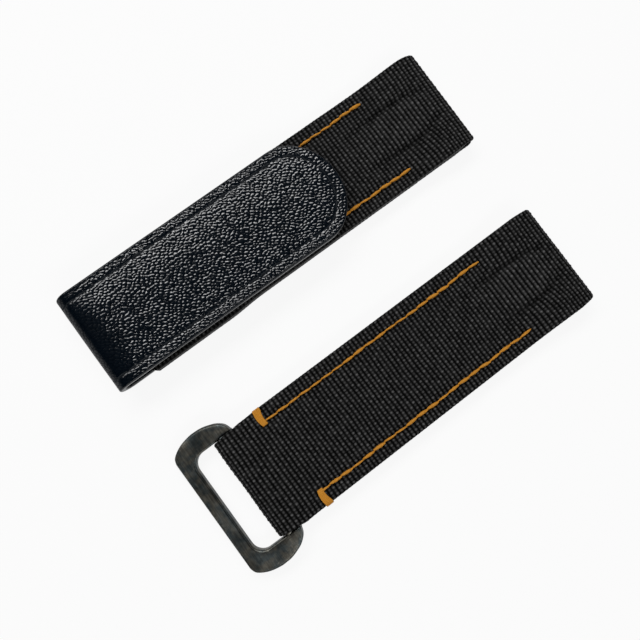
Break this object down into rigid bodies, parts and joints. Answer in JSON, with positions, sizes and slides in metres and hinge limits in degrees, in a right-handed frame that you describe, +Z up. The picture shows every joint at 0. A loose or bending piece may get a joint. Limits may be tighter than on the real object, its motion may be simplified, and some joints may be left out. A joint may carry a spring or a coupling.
{
  "type": "hook and loop watch strap",
  "caption": "Woven watch strap in two halves: one ends in a folded leather tongue with a hook and loop closure, the other in a metal keeper ring that swings on its inner bar.",
  "frame": {"origin": "the middle of the strap's footprint on the surface it lies on", "axes": "+X runs along both halves towards the ends that the watch case holds, +Y points from the ring half to the hook half, and +Z is up from the surface"},
  "size_m": [0.0775, 0.059, 0.0061],
  "materials": {
    "woven_nylon": "coarse matt weave",
    "lining_cloth": "fine matt cloth",
    "filler_foam": "soft padding",
    "reinforcing_tape": "plain tape",
    "loop_pile": "brushed loop pile",
    "moulded_hooks": "moulded hooks",
    "grained_leather": "glossy pebbled grain",
    "orange_thread": "twisted thread",
    "black_thread": "twisted thread",
    "gunmetal": "dark satin plating"
  },
  "bodies": {
    "hook_half": {"hook_half_fabric": "woven_nylon", "hook_half_lining": "lining_cloth", "hook_half_filler": "filler_foam", "hook_half_case_tape": "reinforcing_tape", "loop_tape": "loop_pile", "hook_half_seam_left": "orange_thread", "hook_half_seam_right": "orange_thread", "tongue_root_leather": "grained_leather", "tongue_root_seam": "black_thread"},
    "tongue": {"tongue_leather": "grained_leather", "hook_tape": "moulded_hooks", "tongue_edge_seam": "black_thread"},
    "ring_half": {"ring_half_fabric": "woven_nylon", "ring_half_lining": "lining_cloth", "ring_half_filler": "filler_foam", "ring_half_case_tape": "reinforcing_tape", "ring_half_seam_left": "orange_thread", "ring_half_seam_right": "orange_thread"},
    "ring": {"keeper_ring": "gunmetal"}
  },
  "joints": [
    {"name": "tongue_peel", "type": "hinge", "parent": "hook_half", "child": "tongue", "pos_m": [-0.0387, 0.01947, 0.00325], "axis": [0, -1, 0], "range_deg": [0, 180]},
    {"name": "ring_half_lift", "type": "slide", "parent": "hook_half", "child": "ring_half", "axis": [0, 0, 1], "range_m": [0, 0.05]},
    {"name": "ring_swing", "type": "hinge", "parent": "ring_half", "child": "ring", "pos_m": [-0.0297, -0.01622, 0.0019], "axis": [0, 1, 0], "range_deg": [-136, 158]}
  ]
}
